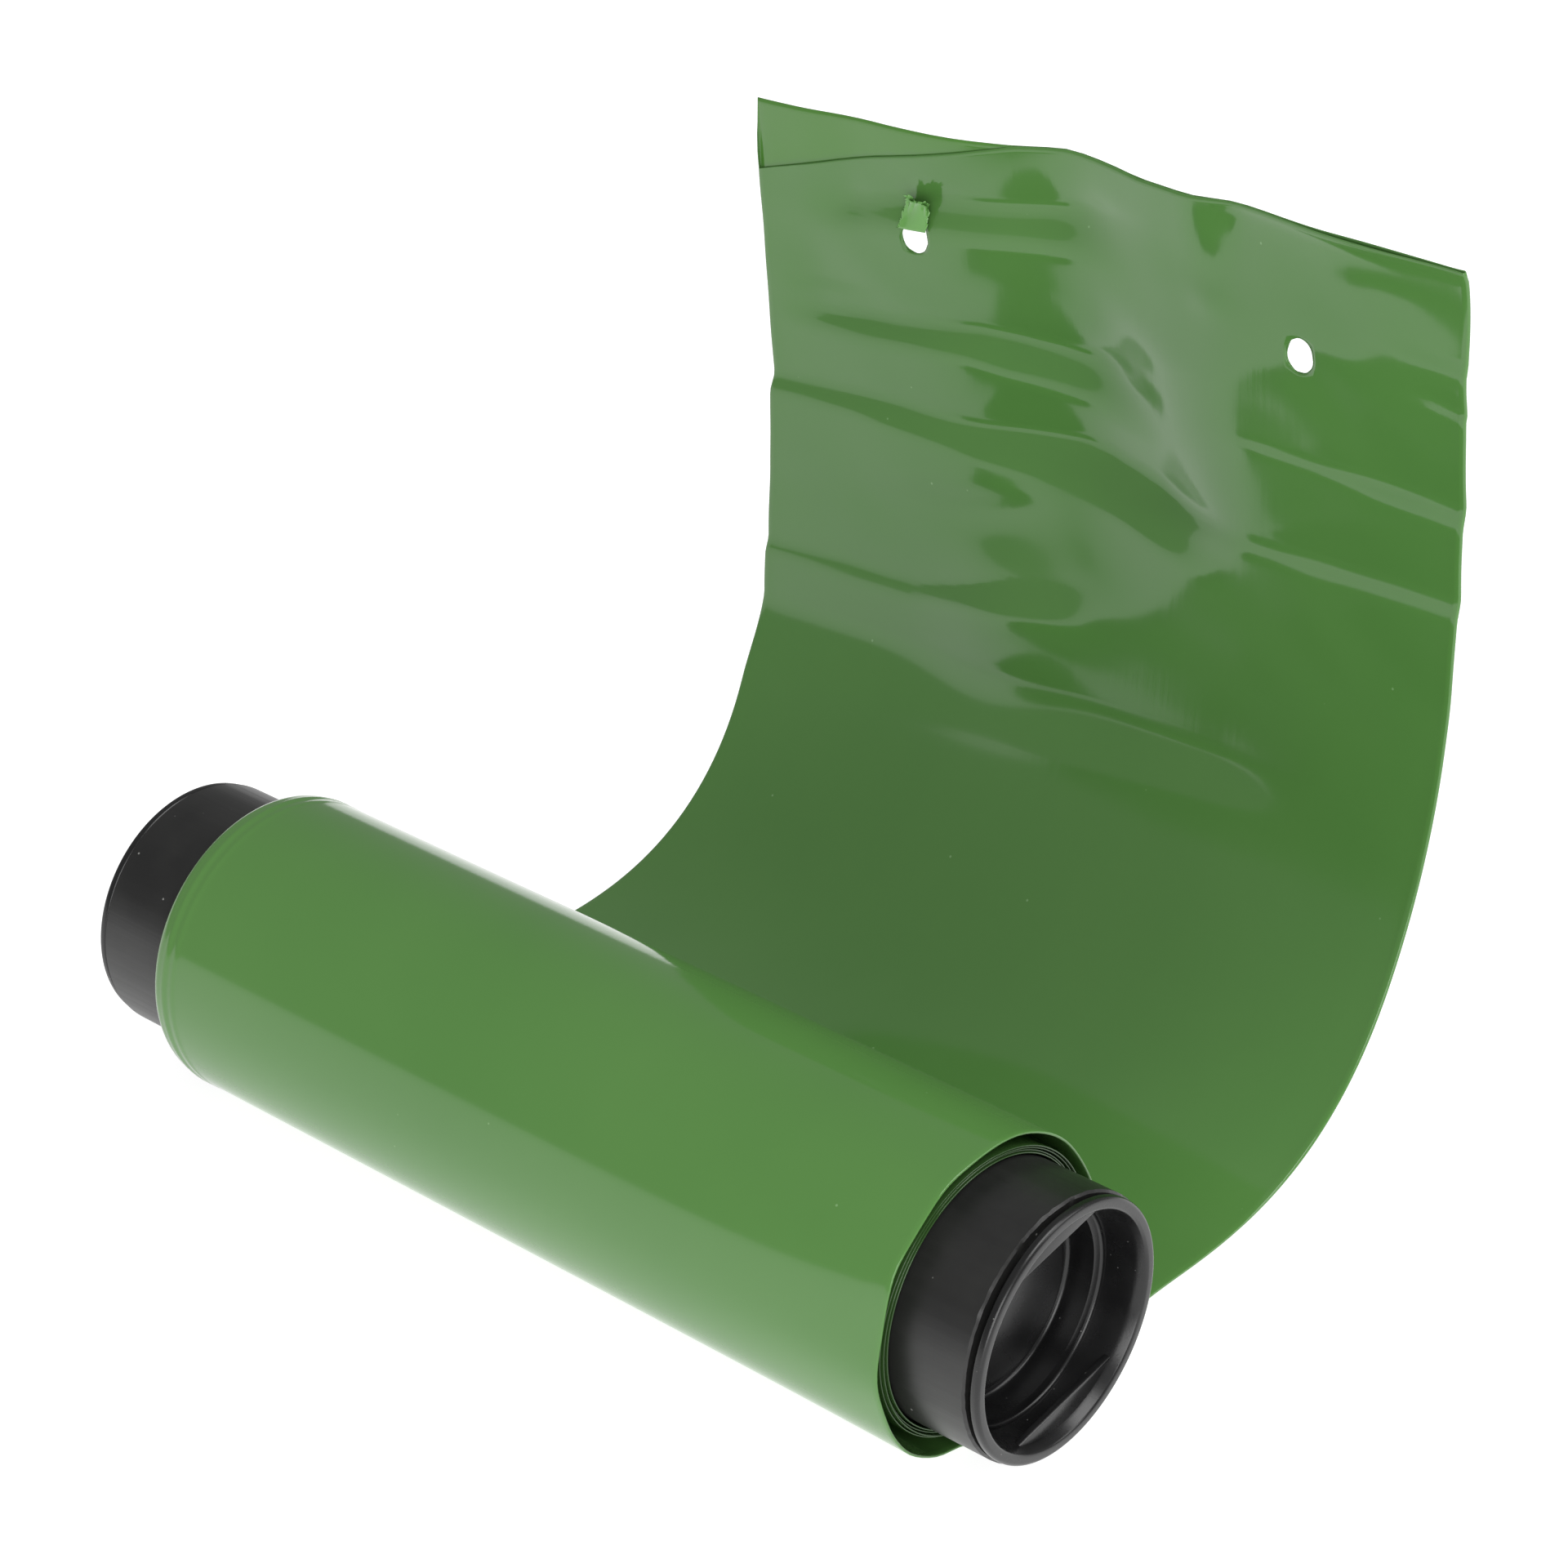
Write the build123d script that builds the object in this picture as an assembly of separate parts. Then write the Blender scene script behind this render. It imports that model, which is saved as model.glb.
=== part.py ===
from build123d import *
import math
import os

# A roll of flattened plastic tubing on a black core tube with a push-in plug in each end.
# The last turn of the film runs out flat under the roll and curls up into a standing leaf
# with two punched holes. Millimetres, +Z up, the roll's axis along X, the leaf towards +Y.

# core tube
TUBE_DIAMETER = 40.0
TUBE_WALL = 2.0
TUBE_LENGTH = 173.0
TUBE_EDGE = 0.3  # chamfer on the sawn ends

# film, two plies pressed flat
FILM_WIDTH = 145.0
FILM_THICKNESS = 0.5
NEAR_BARE = 12.0  # bare tube beyond the film at the +X end

# tape under the film's first edge
TAPE_THICKNESS = 0.1
TAPE_LENGTH = 120.0
TAPE_SWEEP = 40.0  # degrees of the tube it goes round

# inner turns, wound on the tube and turning with it
INNER_TURNS = 4
TURN_GAP = 0.04
NIP_ANGLE = -60.0  # where a turn tucks in under the back of the roll

# outermost turn, which the leaf continues
WRAP_CLEARANCE = 0.6  # between the turning roll and the turn that stays, before its lap
WRAP_LAP = 0.4  # how far the turn draws in from its front half to its back half

# leaf
FLOOR_RUN = 64.0  # flat under and behind the roll, from below its axis
LOW_BEND_RADIUS = 42.0
LOW_BEND = 62.0  # degrees
HIGH_BEND_RADIUS = 95.0
LEAF_STRAIGHT = 74.5  # upright stretch above the bends

# punched holes
HOLE_DIAMETER = 5.5
HOLE_SPACING = 80.0
HOLE_SHIFT = 3.0  # the pair sits nearer the film's +X edge by this
HOLE_DROP = 21.0  # below the cut top edge
CHAD_TRIM = 0.3  # the disc is smaller than its hole by this
CHAD_THICKNESS = 0.25
CHAD_TILT = 20.0  # degrees out from the leaf

# end plugs
PLUG_CLEARANCE = 0.05  # all round, spigot in tube
PLUG_DEPTH = 12.0
PLUG_STANDOFF = 0.2  # lip short of the tube's end
LIP_INSET = 0.3  # lip inside the tube's outside, all round
LIP_THICKNESS = 1.5
LIP_EDGE = 0.6
CUP_WALL = 1.0
STEP_DEPTH = 7.0  # below the lip's face
STEP_WIDTH = 1.4
FLOOR_THICKNESS = 1.4
DISC_DIAMETER = 22.0
DISC_RISE = 1.0
WEB_REACH = 2.75  # in from the cup's wall, to the chord
WEB_DEPTH = 1.6  # below the lip's face
WEB_THICKNESS = 1.2
WEB_TURN = 11.0  # degrees of turn about the axis

TUBE_R = TUBE_DIAMETER / 2
BORE_R = TUBE_R - TUBE_WALL
HALF_TUBE = TUBE_LENGTH / 2
FILM_NEAR = HALF_TUBE - NEAR_BARE
FILM_FAR = FILM_NEAR - FILM_WIDTH
FILM_MIDDLE = (FILM_NEAR + FILM_FAR) / 2
HOLES_X = [FILM_MIDDLE + HOLE_SHIFT + side * HOLE_SPACING / 2 for side in (-1, 1)]
CHAD_DIAMETER = HOLE_DIAMETER - CHAD_TRIM

TURN_STEP = (FILM_THICKNESS + TURN_GAP) / 2
FIRST_TURN_R = TUBE_R + TAPE_THICKNESS + FILM_THICKNESS / 2
INNER_ROLL_R = FIRST_TURN_R + 2 * INNER_TURNS * TURN_STEP + FILM_THICKNESS / 2
BACK_WRAP_R = INNER_ROLL_R + WRAP_CLEARANCE + FILM_THICKNESS / 2
FRONT_WRAP_R = BACK_WRAP_R + WRAP_LAP
ROLL_R = FRONT_WRAP_R + FILM_THICKNESS / 2
SPIGOT_R = BORE_R - PLUG_CLEARANCE
CUP_R = SPIGOT_R - CUP_WALL
LIP_R = TUBE_R - LIP_INSET
WEB_CHORD = CUP_R - WEB_REACH
HIGH_BEND = 90.0 - LOW_BEND


def run_out():
    """Y of the upright leaf's middle, and the height of its top edge, from the roll's axis."""
    low, full = math.radians(LOW_BEND), math.radians(90.0)
    out = FLOOR_RUN + LOW_BEND_RADIUS * math.sin(low)
    out += HIGH_BEND_RADIUS * (math.sin(full) - math.sin(low))
    up = LOW_BEND_RADIUS * (1 - math.cos(low))
    up += HIGH_BEND_RADIUS * (math.cos(low) - math.cos(full))
    return out, up + LEAF_STRAIGHT - FRONT_WRAP_R


LEAF_Y, LEAF_TOP = run_out()
HOLE_Z = LEAF_TOP - HOLE_DROP

# The origin is under the middle of the whole, on the surface that it stands on.
AXIS_Y = (ROLL_R - LEAF_Y - FILM_THICKNESS / 2) / 2
AXIS_Z = ROLL_R


def turtle_strip(start, heading, moves, thickness):
    """A flat strip's outline: straight and left-turning moves, offset by half its thickness each side."""
    (y, z), angle, half = start, heading, thickness / 2
    inner, outer = [], []

    def side(offset):
        turn = math.radians(angle + 90)
        return (y + offset * math.cos(turn), z + offset * math.sin(turn))

    first = Line(side(half), side(-half))
    for radius, amount in moves:
        before_in, before_out = side(half), side(-half)
        if radius:
            turn = math.radians(angle + 90)
            centre = (y + radius * math.cos(turn), z + radius * math.sin(turn))
            inner.append(CenterArc(centre, radius - half, angle - 90, amount))
            outer.append(CenterArc(centre, radius + half, angle - 90, amount))
            angle += amount
            end = math.radians(angle - 90)
            y, z = centre[0] + radius * math.cos(end), centre[1] + radius * math.sin(end)
        else:
            y += amount * math.cos(math.radians(angle))
            z += amount * math.sin(math.radians(angle))
            inner.append(Line(before_in, side(half)))
            outer.append(Line(before_out, side(-half)))
    last = Line(side(half), side(-half))
    return make_face([first, *inner, last, *outer])


def across(face, near, far):
    """The outline, drawn in Y and Z, made solid from x = far to x = near."""
    return Pos(far, 0, 0) * extrude(Plane.YZ * face, near - far)


def around(radius, angle, lift=0.0):
    return (radius * math.cos(math.radians(angle)), lift + radius * math.sin(math.radians(angle)))


def core_tube():
    along = Plane.YZ.offset(-HALF_TUBE)
    tube = extrude(along * Circle(TUBE_R), TUBE_LENGTH) - extrude(along * Circle(BORE_R), TUBE_LENGTH)
    rims = tube.edges().filter_by(GeomType.CIRCLE).filter_by(lambda e: abs(e.radius - TUBE_R) < 0.01)
    return chamfer(rims, TUBE_EDGE)


def start_tape():
    radius = TUBE_R + TAPE_THICKNESS / 2
    strip = turtle_strip(around(radius, NIP_ANGLE), NIP_ANGLE + 90, [(radius, TAPE_SWEEP)], TAPE_THICKNESS)
    return across(strip, FILM_MIDDLE + TAPE_LENGTH / 2, FILM_MIDDLE - TAPE_LENGTH / 2)


def film_wraps():
    """Half turns whose radius grows by half the turn's pitch each time."""
    halves = [(FIRST_TURN_R + k * TURN_STEP, 180.0) for k in range(2 * INNER_TURNS)]
    strip = turtle_strip(around(FIRST_TURN_R, NIP_ANGLE), NIP_ANGLE + 90, halves, FILM_THICKNESS)
    return across(strip, FILM_NEAR, FILM_FAR)


def film_leaf():
    """The last turn from the nip over the roll, flat along the surface, and up to the cut edge."""
    moves = [
        (BACK_WRAP_R, 90.0 - NIP_ANGLE),
        (FRONT_WRAP_R, 180.0),
        (0, FLOOR_RUN),
        (LOW_BEND_RADIUS, LOW_BEND),
        (HIGH_BEND_RADIUS, HIGH_BEND),
        (0, LEAF_STRAIGHT),
    ]
    start = around(BACK_WRAP_R, NIP_ANGLE, WRAP_LAP)
    leaf = across(turtle_strip(start, NIP_ANGLE + 90, moves, FILM_THICKNESS), FILM_NEAR, FILM_FAR)
    for hole_x in HOLES_X:
        place = Pos(hole_x, LEAF_Y, HOLE_Z) * Rot(90, 0, 0)
        leaf -= place * Cylinder(HOLE_DIAMETER / 2, 4 * FILM_THICKNESS)
    return leaf


def hole_chad():
    """The punched disc still hanging by its top from the far hole, folded up and out in front."""
    front = LEAF_Y - FILM_THICKNESS / 2
    disc = Pos(0, -CHAD_THICKNESS / 2, CHAD_DIAMETER / 2) * Rot(90, 0, 0)
    disc *= Cylinder(CHAD_DIAMETER / 2, CHAD_THICKNESS)
    hinge = Pos(HOLES_X[0], front, HOLE_Z + HOLE_DIAMETER / 2)
    return hinge * Rot(CHAD_TILT, 0, 0) * disc


def end_plug():
    """Turned cup about X, opening towards +X, with the lip's seat face at x = 0."""
    face_x = LIP_THICKNESS
    step_x = face_x - STEP_DEPTH
    floor_x = FLOOR_THICKNESS - PLUG_DEPTH
    outline = Polyline(
        (-PLUG_DEPTH, 0),
        (-PLUG_DEPTH, SPIGOT_R),
        (0, SPIGOT_R),
        (0, LIP_R),
        (face_x, LIP_R),
        (face_x, CUP_R),
        (step_x, CUP_R),
        (step_x, CUP_R - STEP_WIDTH),
        (floor_x, CUP_R - STEP_WIDTH),
        (floor_x, DISC_DIAMETER / 2),
        (floor_x + DISC_RISE, DISC_DIAMETER / 2),
        (floor_x + DISC_RISE, 0),
        close=True,
    )
    plug = revolve(Plane.XY * make_face(outline), Axis.X, 360)
    lip = plug.edges().filter_by(GeomType.CIRCLE).filter_by(lambda e: abs(e.radius - LIP_R) < 0.01)
    plug = fillet(lip, LIP_EDGE)
    mouth = plug.edges().filter_by(GeomType.CIRCLE).group_by(Axis.X)[-1]
    plug = fillet(mouth.sort_by(SortBy.RADIUS)[0], CUP_WALL * 0.8)
    tip = plug.edges().filter_by(GeomType.CIRCLE).group_by(Axis.X)[0]
    plug = chamfer(tip, CUP_WALL / 2)
    web_plane = Plane.YZ.offset(face_x - WEB_DEPTH - WEB_THICKNESS)
    for side in (-1, 1):
        disc = extrude(web_plane * Circle(CUP_R + CUP_WALL / 2), WEB_THICKNESS)
        cut = Pos(0, 0, side * (WEB_CHORD + TUBE_R)) * Box(4 * PLUG_DEPTH, TUBE_DIAMETER, TUBE_DIAMETER)
        plug += Rot(WEB_TURN, 0, 0) * (disc & cut)
    return plug


def main():
    os.makedirs("parts", exist_ok=True)
    seat = HALF_TUBE + PLUG_STANDOFF
    nodes = {
        "core_tube": core_tube(),
        "start_tape": start_tape(),
        "film_wraps": film_wraps(),
        "film_leaf": film_leaf(),
        "hole_chad": hole_chad(),
        "near_plug": Pos(seat, 0, 0) * end_plug(),
        "far_plug": Pos(-seat, 0, 0) * Rot(0, 0, 180) * end_plug(),
    }
    for name, shape in nodes.items():
        export_step(Pos(0, AXIS_Y, AXIS_Z) * shape, f"parts/{name}.step")


main()
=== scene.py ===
import bpy
import bmesh
import math
from mathutils import Matrix, Vector, noise


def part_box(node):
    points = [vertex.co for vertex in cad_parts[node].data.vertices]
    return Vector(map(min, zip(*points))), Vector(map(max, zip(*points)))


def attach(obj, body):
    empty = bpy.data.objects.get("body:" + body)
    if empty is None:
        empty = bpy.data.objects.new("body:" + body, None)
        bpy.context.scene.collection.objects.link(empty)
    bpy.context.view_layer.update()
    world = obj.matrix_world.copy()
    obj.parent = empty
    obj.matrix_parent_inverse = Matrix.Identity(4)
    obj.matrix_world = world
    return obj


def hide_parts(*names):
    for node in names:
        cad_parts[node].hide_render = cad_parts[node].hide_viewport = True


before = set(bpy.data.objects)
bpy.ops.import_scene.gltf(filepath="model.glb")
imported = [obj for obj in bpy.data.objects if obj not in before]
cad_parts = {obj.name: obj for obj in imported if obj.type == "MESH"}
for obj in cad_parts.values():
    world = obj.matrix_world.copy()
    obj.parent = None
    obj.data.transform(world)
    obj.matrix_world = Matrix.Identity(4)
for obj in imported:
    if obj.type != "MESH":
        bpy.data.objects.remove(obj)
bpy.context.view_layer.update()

# ---------------------------------------------------------------- view, surface and light
# The roll is looked at from the right and above, with a long lens. It lies on a wide glowing
# white table in a dim room, so its lower side mirrors the table up to a sharp horizon line.
MM = 0.001
AXIS_Y = sum(corner.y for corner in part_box("core_tube")) / 2
AIM = Vector((-13.2, 55.6, 49.7)) * MM + Vector((0, AXIS_Y, 0))
AZIMUTH = math.radians(41.9)
ELEVATION = math.radians(28.26)
DISTANCE = 0.700
LENS = 104.8
SENSOR_WIDTH = 36.0
NEAREST_SEEN = 0.01
# Softboxes: name, direction that it stands in, distance, side (both in metres) and power in watts.
SOFT_BOXES = [
    ("key_box", (0.66, -0.80, 0.36), 1.3, 0.8, 8.5),
    ("top_box", (0.40, 0.10, 1.0), 1.4, 0.9, 11.0),
    ("back_box", (0.75, 0.50, 0.55), 1.3, 0.6, 3.0),
]
TABLE_HALF = 40.0
TABLE_WHITE = (0.50, 0.50, 0.50)
TABLE_ROUGHNESS = 0.9
TABLE_SHINE = 0.1
TABLE_GLOW = 0.85
ROOM_GREY = (0.30, 0.30, 0.30)

sight = Vector(
    (
        -math.sin(AZIMUTH) * math.cos(ELEVATION),
        math.cos(AZIMUTH) * math.cos(ELEVATION),
        -math.sin(ELEVATION),
    )
)
camera_data = bpy.data.cameras.new("camera")
camera_data.lens = LENS
camera_data.sensor_width = SENSOR_WIDTH
camera_data.clip_start = NEAREST_SEEN
camera = bpy.data.objects.new("camera", camera_data)
camera.location = AIM - sight * DISTANCE
camera.rotation_euler = sight.to_track_quat("-Z", "Y").to_euler()
bpy.context.scene.collection.objects.link(camera)
bpy.context.scene.camera = camera

for box_name, toward, distance, side, power in SOFT_BOXES:
    lamp = bpy.data.lights.new(box_name, "AREA")
    lamp.shape = "SQUARE"
    lamp.size = side
    lamp.energy = power
    stand = bpy.data.objects.new(box_name, lamp)
    away = Vector(toward).normalized()
    stand.location = AIM + away * distance
    stand.rotation_euler = (-away).to_track_quat("-Z", "Y").to_euler()
    bpy.context.scene.collection.objects.link(stand)

room = bpy.data.worlds.new("room")
room.use_nodes = True
room.node_tree.nodes["Background"].inputs["Color"].default_value = (*ROOM_GREY, 1.0)
room.node_tree.nodes["Background"].inputs["Strength"].default_value = 1.0
bpy.context.scene.world = room
bpy.context.scene.view_settings.view_transform = "Standard"

table_mesh = bpy.data.meshes.new("table")
table_bm = bmesh.new()
bmesh.ops.create_grid(table_bm, x_segments=1, y_segments=1, size=TABLE_HALF)
table_bm.to_mesh(table_mesh)
table_bm.free()
table = bpy.data.objects.new("table", table_mesh)
bpy.context.scene.collection.objects.link(table)
table_paint = bpy.data.materials.new("table_white")
table_paint.use_nodes = True
table_shader = table_paint.node_tree.nodes["Principled BSDF"]
table_shader.inputs["Base Color"].default_value = (*TABLE_WHITE, 1.0)
table_shader.inputs["Roughness"].default_value = TABLE_ROUGHNESS
table_shader.inputs["Specular IOR Level"].default_value = TABLE_SHINE
table_shader.inputs["Emission Color"].default_value = (1.0, 1.0, 1.0, 1.0)
table_shader.inputs["Emission Strength"].default_value = TABLE_GLOW
table_mesh.materials.append(table_paint)

# ---------------------------------------------------------------- core tube
# A length of black plastic pipe, sawn off square. The saw leaves the near rim slightly rough, and
# making and handling leave faint lengthwise draw lines, haze and dust on its skin.
tube_low, tube_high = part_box("core_tube")
AXIS_Z = (tube_low.z + tube_high.z) / 2
TUBE_R = (tube_high.z - tube_low.z) / 2
TUBE_END = tube_high.x
TUBE_WALL = 2.0 * MM
TUBE_BEVEL = 0.35 * MM
TUBE_STEPS = 256
BURR = 0.2 * MM
BURR_GRAIN = 900.0  # noise cells to the metre
TURNED_WELD = 0.001 * MM
SHARP_CORNER = 35.0  # degrees, past which a corner is drawn crisp
PIPE_DARK, PIPE_PALE = (0.009, 0.009, 0.0088), (0.019, 0.019, 0.018)
PIPE_DUST = (0.22, 0.22, 0.21)
NO_DUST = (0, 0, 0)


def turned(bm, outline, steps):
    """Spins a closed outline of (x, radius) points about the roll's axis."""
    ring = [bm.verts.new((x, AXIS_Y, AXIS_Z + radius)) for x, radius in outline]
    lines = [bm.edges.new((a, b)) for a, b in zip(ring, ring[1:] + ring[:1])]
    centre = Vector((0, AXIS_Y, AXIS_Z))
    bmesh.ops.spin(
        bm, geom=ring + lines, cent=centre, axis=(1, 0, 0), angle=2 * math.pi, steps=steps, use_merge=True
    )
    bmesh.ops.remove_doubles(bm, verts=bm.verts, dist=TURNED_WELD)
    loose = [e for e in bm.edges if not e.link_faces]
    bmesh.ops.delete(bm, geom=loose, context="EDGES")
    bmesh.ops.recalc_face_normals(bm, faces=bm.faces)


def finished(bm, name, sharp_angle=SHARP_CORNER):
    """Turns the working mesh into a smooth-shaded piece with crisp corners."""
    mesh = bpy.data.meshes.new(name)
    bm.to_mesh(mesh)
    bm.free()
    mesh.shade_smooth()
    mesh.set_sharp_from_angle(angle=math.radians(sharp_angle))
    piece = bpy.data.objects.new(name, mesh)
    bpy.context.scene.collection.objects.link(piece)
    return piece


def new_paint(name):
    """A fresh material: itself, its node tree, its shader and its Object coordinates."""
    paint = bpy.data.materials.new(name)
    paint.use_nodes = True
    tree = paint.node_tree
    place = tree.nodes.new("ShaderNodeTexCoord")
    return paint, tree, tree.nodes["Principled BSDF"], place.outputs["Object"]


def texture(tree, kind, where, scale, **settings):
    """A texture node of this kind and scale, read at the given coordinates."""
    pattern = tree.nodes.new("ShaderNodeTex" + kind)
    pattern.inputs["Scale"].default_value = scale
    for setting, value in settings.items():
        pattern.inputs[setting].default_value = value
    tree.links.new(where, pattern.inputs["Vector"])
    return pattern


def stretched(tree, where, scale):
    """The same coordinates, scaled differently along each axis."""
    mapping = tree.nodes.new("ShaderNodeMapping")
    mapping.inputs["Scale"].default_value = scale
    tree.links.new(where, mapping.inputs["Vector"])
    return mapping.outputs["Vector"]


def two_tone(tree, source, low, high):
    """A colour that goes from one (level, colour) of the source to another."""
    ramp = tree.nodes.new("ShaderNodeValToRGB")
    for stop, (level, colour) in zip(ramp.color_ramp.elements, (low, high)):
        stop.position = level
        stop.color = (*colour, 1)
    tree.links.new(source, ramp.inputs["Fac"])
    return ramp.outputs["Color"]


def dusted(tree, where, colour, specks, scale, full, gone):
    """The colour with specks of dust added, solid up to `full` from their middles and gone at `gone`."""
    cells = texture(tree, "Voronoi", where, scale=scale)
    spots = two_tone(tree, cells.outputs["Distance"], (full, specks), (gone, NO_DUST))
    mixed = tree.nodes.new("ShaderNodeMix")
    mixed.data_type = "RGBA"
    mixed.blend_type = "ADD"
    mixed.inputs["Factor"].default_value = 1.0
    tree.links.new(colour, mixed.inputs["A"])
    tree.links.new(spots, mixed.inputs["B"])
    return mixed.outputs["Result"]


def set_roughness(tree, shader, source, low, high):
    """Lets the source vary the roughness between two values."""
    spread = tree.nodes.new("ShaderNodeMapRange")
    spread.inputs["To Min"].default_value = low
    spread.inputs["To Max"].default_value = high
    tree.links.new(source, spread.inputs["Value"])
    tree.links.new(spread.outputs["Result"], shader.inputs["Roughness"])


def set_bump(tree, shader, source, strength, height):
    """Lets the source raise the surface by the given height."""
    bump = tree.nodes.new("ShaderNodeBump")
    bump.inputs["Strength"].default_value = strength
    bump.inputs["Distance"].default_value = height
    tree.links.new(source, bump.inputs["Height"])
    tree.links.new(bump.outputs["Normal"], shader.inputs["Normal"])


def black_pipe():
    """Satin black plastic, with draw lines along X, a dull haze and dust."""
    paint, tree, shader, place = new_paint("black_pipe")
    haze = texture(tree, "Noise", place, scale=90.0, Detail=5.0)
    skin = two_tone(tree, haze.outputs["Fac"], (0.3, PIPE_DARK), (0.75, PIPE_PALE))
    skin = dusted(tree, place, skin, PIPE_DUST, scale=260.0, full=0.035, gone=0.06)
    tree.links.new(skin, shader.inputs["Base Color"])
    along = stretched(tree, place, scale=(6.0, 900.0, 900.0))
    lines = texture(tree, "Noise", along, scale=1.0, Detail=4.0)
    set_roughness(tree, shader, lines.outputs["Fac"], low=0.30, high=0.46)
    set_bump(tree, shader, lines.outputs["Fac"], strength=0.12, height=0.3 * MM)
    return paint


tube_bm = bmesh.new()
tube_inner = TUBE_R - TUBE_WALL
turned(
    tube_bm,
    [
        (-TUBE_END, TUBE_R - TUBE_BEVEL),
        (-TUBE_END + TUBE_BEVEL, TUBE_R),
        (0.0, TUBE_R),
        (TUBE_END - TUBE_BEVEL, TUBE_R),
        (TUBE_END, TUBE_R - TUBE_BEVEL),
        (TUBE_END, tube_inner),
        (0.0, tube_inner),
        (-TUBE_END, tube_inner),
    ],
    TUBE_STEPS,
)
for vert in tube_bm.verts:
    if vert.co.x > TUBE_END - 2 * TUBE_BEVEL:
        rag = noise.noise(vert.co * BURR_GRAIN)
        vert.co.x = min(TUBE_END, vert.co.x + BURR * rag)
core_pipe = finished(tube_bm, "core_pipe")
core_pipe.data.materials.append(black_pipe())
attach(core_pipe, "roll")
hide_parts("core_tube")

# ---------------------------------------------------------------- end plugs
# A moulded black cup that pushes into each end of the core: a thin rounded lip, a stepped wall, a
# floor with turned rings round a raised dome, and two thin webs across the mouth to pull it by.
LIP_THICKNESS = 1.5 * MM
PLUG_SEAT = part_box("near_plug")[1].x - LIP_THICKNESS  # the lip's back, just off the tube's rim
PLUG_STEPS = 192
DOME_R = 11.8  # in mm, as all of the outline
DOME_TOP = -8.3
DOME_RISE = 0.40
DOME_STEPS = 8
WEB_CHORD = 13.9 * MM
WEB_TOP = -0.1 * MM
WEB_THICKNESS = 1.2 * MM
WEB_BEVEL = 0.2 * MM
WEB_R = 17.4 * MM  # runs a little into the cup's wall
WEB_STEPS = 96
WEB_TURN = math.radians(11.0)
NEAR_LEAN = math.radians(2.0)
FAR_LEAN = math.radians(0.6)
MOULD_DARK, MOULD_PALE = (0.0055, 0.0055, 0.0057), (0.0105, 0.0105, 0.0108)
MOULD_SPECKS = (0.16, 0.16, 0.155)


def rounded(corner_x, corner_r, radius, from_angle, to_angle, steps=5):
    """Points of a part round about (corner_x, corner_r), in the outline's x and radius."""
    angles = [math.radians(from_angle + (to_angle - from_angle) * k / steps) for k in range(steps + 1)]
    return [(corner_x + radius * math.cos(a), corner_r + radius * math.sin(a)) for a in angles]


def plug_outline():
    """The plug's half section in mm, from the middle of its back, round its lip, to its dome."""
    points = [(-12.0, 0.0), (-12.0, 16.9), (-11.3, 17.7), (-0.3, 17.9), (0.0, 18.1)]  # spigot
    points += rounded(0.45, 19.25, 0.45, 180, 90)  # lip
    points += rounded(0.85, 19.05, 0.65, 90, 0, 8)
    points += rounded(0.95, 18.35, 0.55, 0, -70, 6)
    points += [(0.3, 17.5), (-0.4, 17.25), (-5.0, 16.95)]  # wall and its step
    points += rounded(-5.0, 16.15, 0.6, 90, 180, 5)
    points += [(-5.9, 15.5), (-9.4, 15.2)]
    points += rounded(-9.4, 14.4, 0.8, 90, 180, 6)
    points += [(-10.2, 13.95), (-10.1, 13.8), (-10.1, 13.6), (-10.2, 13.45)]  # floor and its ring
    points += [(-10.2, 13.1), (-9.5, 12.9)]
    points += rounded(-9.5, 12.2, 0.7, 90, 20, 5)
    for k in range(DOME_STEPS + 1):
        radius = DOME_R * (1 - k / DOME_STEPS)
        points.append((DOME_TOP - DOME_RISE * (radius / DOME_R) ** 2, radius))
    return points


def moulded_black():
    """Satin black moulding, with faint swirl, scuffs and specks."""
    paint, tree, shader, place = new_paint("moulded_black")
    cloud = texture(tree, "Noise", place, scale=140.0, Detail=6.0)
    skin = two_tone(tree, cloud.outputs["Fac"], (0.3, MOULD_DARK), (0.8, MOULD_PALE))
    skin = dusted(tree, place, skin, MOULD_SPECKS, scale=420.0, full=0.03, gone=0.055)
    tree.links.new(skin, shader.inputs["Base Color"])
    set_roughness(tree, shader, cloud.outputs["Fac"], low=0.20, high=0.34)
    fine = texture(tree, "Noise", place, scale=2600.0, Detail=2.0)
    set_bump(tree, shader, fine.outputs["Fac"], strength=0.08, height=0.1 * MM)
    return paint


def merge_into(bm, part):
    """Moves one working mesh into another."""
    scrap = bpy.data.meshes.new("scrap")
    part.to_mesh(scrap)
    part.free()
    bm.from_mesh(scrap)
    bpy.data.meshes.remove(scrap)


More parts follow.
